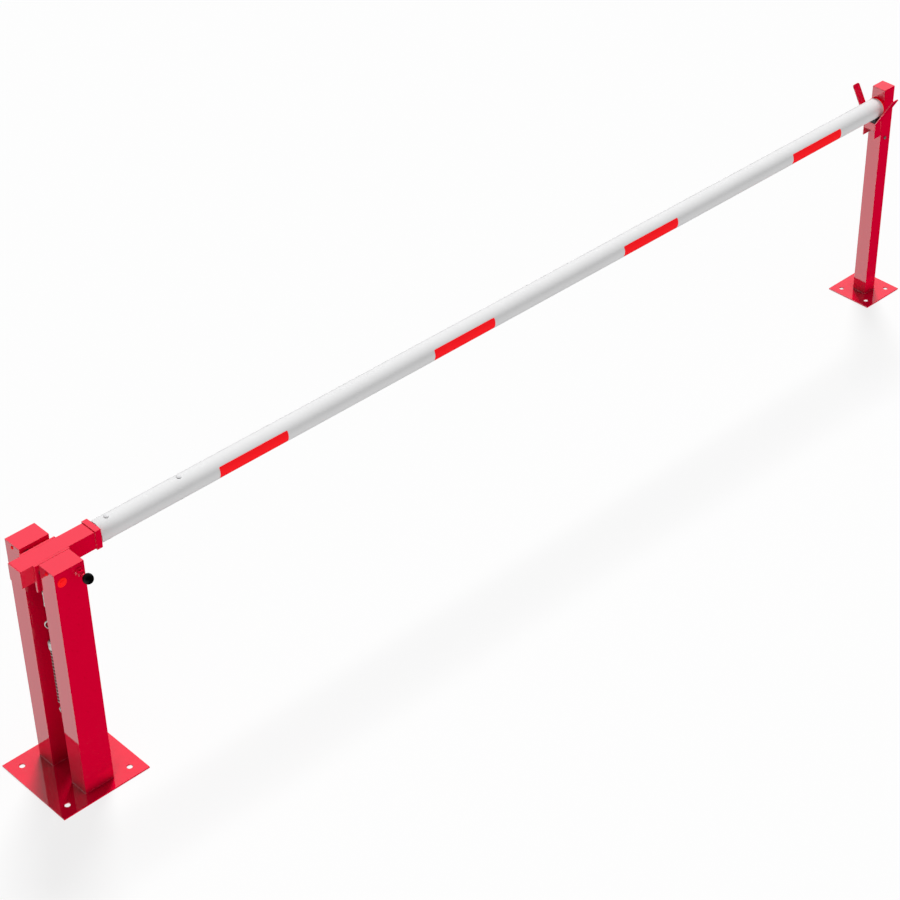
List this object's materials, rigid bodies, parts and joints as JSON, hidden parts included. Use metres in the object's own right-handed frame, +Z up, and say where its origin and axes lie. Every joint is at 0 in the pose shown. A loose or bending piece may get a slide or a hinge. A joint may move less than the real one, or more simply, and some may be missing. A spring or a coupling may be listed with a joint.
{
  "type": "parking barrier gate",
  "caption": "Manual tip-up barrier: a white boom with red reflective strips pivots between red pillars, locks with a plunger and rests in the fork of a red catch post.",
  "frame": {"origin": "centre of the pivot base plate's underside, on the ground", "axes": "+X along the closed boom from the pivot stand to the catch post, +Z up, -Y the side of the locking plunger"},
  "size_m": [4.267, 0.36, 0.94],
  "materials": {
    "red_paint": "glossy red powder coat",
    "white_boom": "white powder coat on an aluminium tube",
    "white_bolt": "light grey coated round-head bolt",
    "red_plastic": "bright red moulded plastic",
    "reflective_red": "red retroreflective film",
    "black_plastic": "polished black thermoset ball",
    "zinc_steel": "zinc plated",
    "spring_wire": "galvanised spring wire",
    "bronze": "sintered bronze bush",
    "nylon": "natural nylon spacer",
    "rubber": "matt grey rubber"
  },
  "bodies": {
    "stand": {"pivot_base_plate": "red_paint", "front_pillar": "red_paint", "rear_pillar": "red_paint", "front_pillar_cap": "red_paint", "rear_pillar_cap": "red_paint", "plunger_sleeve": "red_paint", "catch_base_plate": "red_paint", "catch_post": "red_paint", "catch_post_cap": "red_paint", "front_fork_side": "red_paint", "rear_fork_side": "red_paint", "cradle_front_plate": "red_paint", "cradle_shelf": "red_paint", "front_cap_screw": "red_plastic", "rear_cap_screw": "red_plastic", "front_pivot_plug": "red_plastic", "rear_pivot_plug": "red_plastic", "pivot_shaft": "zinc_steel", "spring_anchor_stud": "zinc_steel", "plunger_spring": "zinc_steel", "post_cross_bolt": "zinc_steel", "post_cross_nut": "zinc_steel", "front_thrust_washer": "nylon", "rear_thrust_washer": "nylon", "cradle_pad": "rubber"},
    "boom": {"bracket_tube": "red_paint", "bracket_rear_cap": "red_paint", "bracket_collar": "red_paint", "spring_lug": "red_paint", "front_cheek": "red_paint", "rear_cheek": "red_paint", "front_bearing_bush": "bronze", "rear_bearing_bush": "bronze", "boom_insert": "zinc_steel", "boom_tube": "white_boom", "boom_end_plug": "red_plastic", "inner_boom_bolt": "white_bolt", "inner_boom_nut": "zinc_steel", "outer_boom_bolt": "white_bolt", "outer_boom_nut": "zinc_steel", "front_sticker_1": "reflective_red", "front_sticker_2": "reflective_red", "front_sticker_3": "reflective_red", "front_sticker_4": "reflective_red", "rear_sticker_1": "reflective_red", "rear_sticker_2": "reflective_red", "rear_sticker_3": "reflective_red", "rear_sticker_4": "reflective_red"},
    "plunger": {"plunger_pin": "zinc_steel", "plunger_knob": "black_plastic"},
    "tension_linkage": {"tension_eye": "zinc_steel", "tensioner_body": "zinc_steel", "tension_link": "zinc_steel", "spring_hook": "zinc_steel", "spring_top_plug": "zinc_steel"},
    "lower_spring": {"balance_spring": "spring_wire"}
  },
  "joints": [
    {"name": "boom_pivot", "type": "hinge", "parent": "stand", "child": "boom", "pos_m": [-0.026, 0, 0.863], "axis": [0, -1, 0], "range_deg": [0, 90], "deforming": ["balance_spring"]},
    {"name": "plunger_push", "type": "slide", "parent": "stand", "child": "plunger", "axis": [0, 1, 0], "range_m": [0, 0.012]},
    {"name": "link_swing", "type": "hinge", "parent": "boom", "child": "tension_linkage", "pos_m": [-0.014, 0, 0.806], "axis": [0, 1, 0], "range_deg": [0, 94.3]},
    {"name": "spring_stretch", "type": "slide", "parent": "tension_linkage", "child": "lower_spring", "axis": [0, 0, -1], "range_m": [0, 0.0707]}
  ],
  "couplings": [
    {"joint": "link_swing", "follows": "boom_pivot", "ratio": 1.0466},
    {"joint": "spring_stretch", "follows": "boom_pivot", "m_per_rad": 0.044977}
  ]
}
